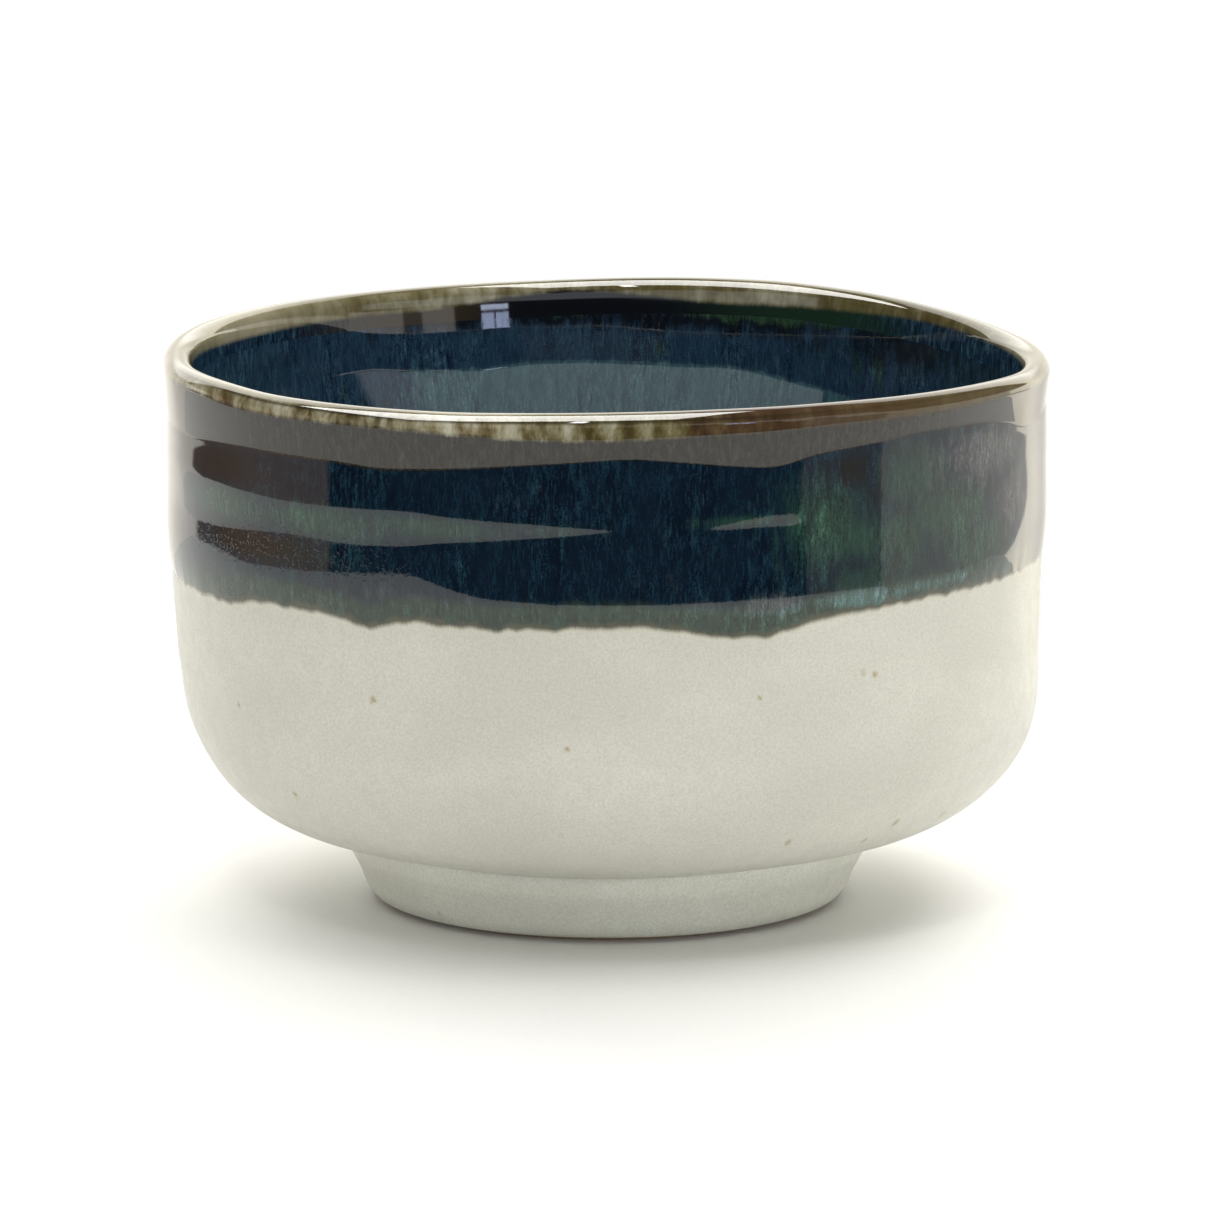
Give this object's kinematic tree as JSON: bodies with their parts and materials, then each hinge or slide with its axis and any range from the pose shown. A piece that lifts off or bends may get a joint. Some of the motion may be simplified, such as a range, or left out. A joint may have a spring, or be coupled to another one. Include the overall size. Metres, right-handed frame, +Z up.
{
  "type": "matcha bowl",
  "caption": "Straight-sided stoneware tea bowl on a low foot ring, satin white outside, with a dark blue streaked glaze inside and round its upper wall and a rolled amber lip.",
  "frame": {"origin": "centre of the foot ring's contact circle, on the surface that the bowl stands on", "axes": "+Z up along the throwing axis, from the foot to the lip; the bowl is turned about it, so +X and +Y are free"},
  "size_m": [0.12, 0.12, 0.0765],
  "materials": {
    "body_clay": "fired stoneware, wholly covered by glaze",
    "foot_clay": "bare fired stoneware, fine sandy grain, wiped clean where it stands",
    "satin_white_glaze": "satin cream white, fine grain with a few faint iron specks",
    "foot_white_glaze": "satin cream white, thinner and greyer towards the wiped edge",
    "base_white_glaze": "satin cream white",
    "blue_glaze": "glossy navy to teal with fine vertical hare's-fur streaks and a milky green-blue lower fringe",
    "blue_liner_glaze": "glossy teal to navy with fine streaks, amber just under the lip",
    "amber_rim_glaze": "glossy amber and olive over cream, in short streaks"
  },
  "bodies": {
    "root": {"clay_body": "body_clay", "foot_ring": "foot_clay", "white_glaze_outside": "satin_white_glaze", "white_glaze_foot": "foot_white_glaze", "white_glaze_base": "base_white_glaze", "blue_glaze_outside": "blue_glaze", "blue_glaze_inside": "blue_liner_glaze", "rim_glaze": "amber_rim_glaze"}
  },
  "joints": []
}
